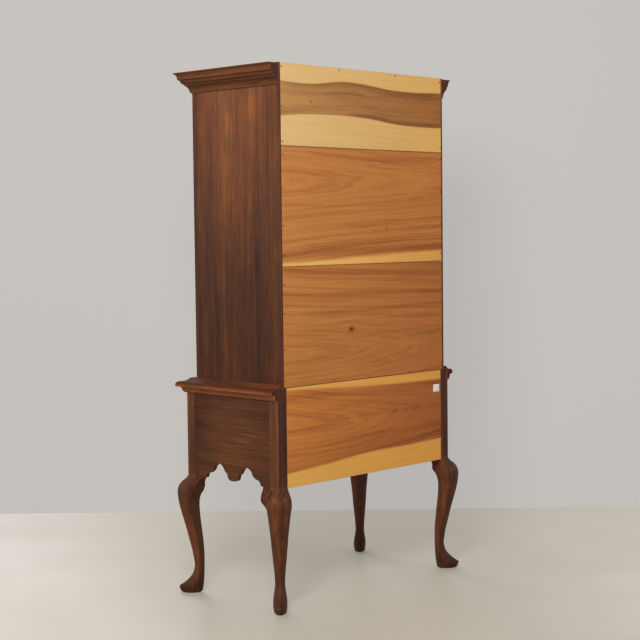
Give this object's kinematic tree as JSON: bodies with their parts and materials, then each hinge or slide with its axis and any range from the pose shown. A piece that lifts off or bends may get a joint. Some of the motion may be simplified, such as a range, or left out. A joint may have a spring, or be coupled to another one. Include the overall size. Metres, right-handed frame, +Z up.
{
  "type": "highboy",
  "caption": "Flat-top highboy: an upper case of drawers seated in the moulding of a stand on cabriole legs, with sliding drawers and swinging bail pulls.",
  "frame": {"origin": "on the floor, at the middle of the four legs", "axes": "+Z up; the drawers face -Y, so +Y is the unfinished back; +X is the chest's own left-to-right, towards the right for someone facing the drawers"},
  "size_m": [1.05, 0.567, 1.998],
  "materials": {
    "cabinet_wood": "satin",
    "secondary_wood": "matte",
    "brass": "satin",
    "iron": "matte"
  },
  "bodies": {
    "base": {"leg_front_left": "cabinet_wood", "leg_front_right": "cabinet_wood", "leg_rear_left": "cabinet_wood", "leg_rear_right": "cabinet_wood", "knee_blocks": "cabinet_wood", "base_side_left": "cabinet_wood", "base_side_right": "cabinet_wood", "base_back_board": "secondary_wood", "front_apron": "cabinet_wood", "base_front_rails": "cabinet_wood", "base_drawer_runners": "secondary_wood", "waist_molding": "cabinet_wood"},
    "upper_case": {"upper_side_left": "cabinet_wood", "upper_side_right": "cabinet_wood", "upper_top_and_bottom": "secondary_wood", "cornice": "cabinet_wood", "upper_back_boards": "secondary_wood", "upper_drawer_blades": "cabinet_wood", "upper_drawer_runners": "secondary_wood", "back_board_nails": "iron"},
    "short_drawer_left": {"short_drawer_left_front": "cabinet_wood", "short_drawer_left_box": "secondary_wood", "short_drawer_left_plates": "brass"},
    "short_drawer_left_bails": {"short_drawer_left_bails": "brass"},
    "short_drawer_right": {"short_drawer_right_front": "cabinet_wood", "short_drawer_right_box": "secondary_wood", "short_drawer_right_plates": "brass"},
    "short_drawer_right_bails": {"short_drawer_right_bails": "brass"},
    "long_drawer_1": {"long_drawer_1_front": "cabinet_wood", "long_drawer_1_box": "secondary_wood", "long_drawer_1_plates": "brass"},
    "long_drawer_1_bails": {"long_drawer_1_bails": "brass"},
    "long_drawer_2": {"long_drawer_2_front": "cabinet_wood", "long_drawer_2_box": "secondary_wood", "long_drawer_2_plates": "brass"},
    "long_drawer_2_bails": {"long_drawer_2_bails": "brass"},
    "long_drawer_3": {"long_drawer_3_front": "cabinet_wood", "long_drawer_3_box": "secondary_wood", "long_drawer_3_plates": "brass"},
    "long_drawer_3_bails": {"long_drawer_3_bails": "brass"},
    "long_drawer_4": {"long_drawer_4_front": "cabinet_wood", "long_drawer_4_box": "secondary_wood", "long_drawer_4_plates": "brass"},
    "long_drawer_4_bails": {"long_drawer_4_bails": "brass"},
    "base_long_drawer": {"base_long_drawer_front": "cabinet_wood", "base_long_drawer_box": "secondary_wood", "base_long_drawer_plates": "brass"},
    "base_long_drawer_bails": {"base_long_drawer_bails": "brass"},
    "base_small_drawer_left": {"base_small_drawer_left_front": "cabinet_wood", "base_small_drawer_left_box": "secondary_wood", "base_small_drawer_left_plates": "brass"},
    "base_small_drawer_left_bails": {"base_small_drawer_left_bails": "brass"},
    "base_small_drawer_middle": {"base_small_drawer_middle_front": "cabinet_wood", "base_small_drawer_middle_box": "secondary_wood", "base_small_drawer_middle_plates": "brass"},
    "base_small_drawer_middle_bails": {"base_small_drawer_middle_bails": "brass"},
    "base_small_drawer_right": {"base_small_drawer_right_front": "cabinet_wood", "base_small_drawer_right_box": "secondary_wood", "base_small_drawer_right_plates": "brass"},
    "base_small_drawer_right_bails": {"base_small_drawer_right_bails": "brass"}
  },
  "joints": [
    {"name": "upper_case_lift", "type": "slide", "parent": "base", "child": "upper_case", "axis": [0, 0, 1], "range_m": [0, 0.1]},
    {"name": "short_drawer_left_slide", "type": "slide", "parent": "upper_case", "child": "short_drawer_left", "axis": [0, -1, 0], "range_m": [0, 0.33]},
    {"name": "short_drawer_left_bail_swing", "type": "hinge", "parent": "short_drawer_left", "child": "short_drawer_left_bails", "pos_m": [-0.227, -0.2405, 1.843], "axis": [-1, 0, 0], "range_deg": [-20, 170]},
    {"name": "short_drawer_right_slide", "type": "slide", "parent": "upper_case", "child": "short_drawer_right", "axis": [0, -1, 0], "range_m": [0, 0.33]},
    {"name": "short_drawer_right_bail_swing", "type": "hinge", "parent": "short_drawer_right", "child": "short_drawer_right_bails", "pos_m": [0.227, -0.2405, 1.843], "axis": [-1, 0, 0], "range_deg": [-20, 170]},
    {"name": "long_drawer_1_slide", "type": "slide", "parent": "upper_case", "child": "long_drawer_1", "axis": [0, -1, 0], "range_m": [0, 0.33]},
    {"name": "long_drawer_1_bail_swing", "type": "hinge", "parent": "long_drawer_1", "child": "long_drawer_1_bails", "pos_m": [0, -0.2405, 1.6705], "axis": [-1, 0, 0], "range_deg": [-20, 170]},
    {"name": "long_drawer_2_slide", "type": "slide", "parent": "upper_case", "child": "long_drawer_2", "axis": [0, -1, 0], "range_m": [0, 0.33]},
    {"name": "long_drawer_2_bail_swing", "type": "hinge", "parent": "long_drawer_2", "child": "long_drawer_2_bails", "pos_m": [0, -0.2405, 1.4705], "axis": [-1, 0, 0], "range_deg": [-20, 170]},
    {"name": "long_drawer_3_slide", "type": "slide", "parent": "upper_case", "child": "long_drawer_3", "axis": [0, -1, 0], "range_m": [0, 0.33]},
    {"name": "long_drawer_3_bail_swing", "type": "hinge", "parent": "long_drawer_3", "child": "long_drawer_3_bails", "pos_m": [0, -0.2405, 1.2405], "axis": [-1, 0, 0], "range_deg": [-20, 170]},
    {"name": "long_drawer_4_slide", "type": "slide", "parent": "upper_case", "child": "long_drawer_4", "axis": [0, -1, 0], "range_m": [0, 0.33]},
    {"name": "long_drawer_4_bail_swing", "type": "hinge", "parent": "long_drawer_4", "child": "long_drawer_4_bails", "pos_m": [0, -0.2405, 0.983], "axis": [-1, 0, 0], "range_deg": [-20, 170]},
    {"name": "base_long_drawer_slide", "type": "slide", "parent": "base", "child": "base_long_drawer", "axis": [0, -1, 0], "range_m": [0, 0.33]},
    {"name": "base_long_drawer_bail_swing", "type": "hinge", "parent": "base_long_drawer", "child": "base_long_drawer_bails", "pos_m": [0, -0.2695, 0.722], "axis": [-1, 0, 0], "range_deg": [-20, 170]},
    {"name": "base_small_drawer_left_slide", "type": "slide", "parent": "base", "child": "base_small_drawer_left", "axis": [0, -1, 0], "range_m": [0, 0.33]},
    {"name": "base_small_drawer_left_bail_swing", "type": "hinge", "parent": "base_small_drawer_left", "child": "base_small_drawer_left_bails", "pos_m": [-0.303, -0.2695, 0.599], "axis": [-1, 0, 0], "range_deg": [-20, 170]},
    {"name": "base_small_drawer_middle_slide", "type": "slide", "parent": "base", "child": "base_small_drawer_middle", "axis": [0, -1, 0], "range_m": [0, 0.33]},
    {"name": "base_small_drawer_middle_bail_swing", "type": "hinge", "parent": "base_small_drawer_middle", "child": "base_small_drawer_middle_bails", "pos_m": [0, -0.2695, 0.599], "axis": [-1, 0, 0], "range_deg": [-20, 170]},
    {"name": "base_small_drawer_right_slide", "type": "slide", "parent": "base", "child": "base_small_drawer_right", "axis": [0, -1, 0], "range_m": [0, 0.33]},
    {"name": "base_small_drawer_right_bail_swing", "type": "hinge", "parent": "base_small_drawer_right", "child": "base_small_drawer_right_bails", "pos_m": [0.303, -0.2695, 0.599], "axis": [-1, 0, 0], "range_deg": [-20, 170]}
  ]
}
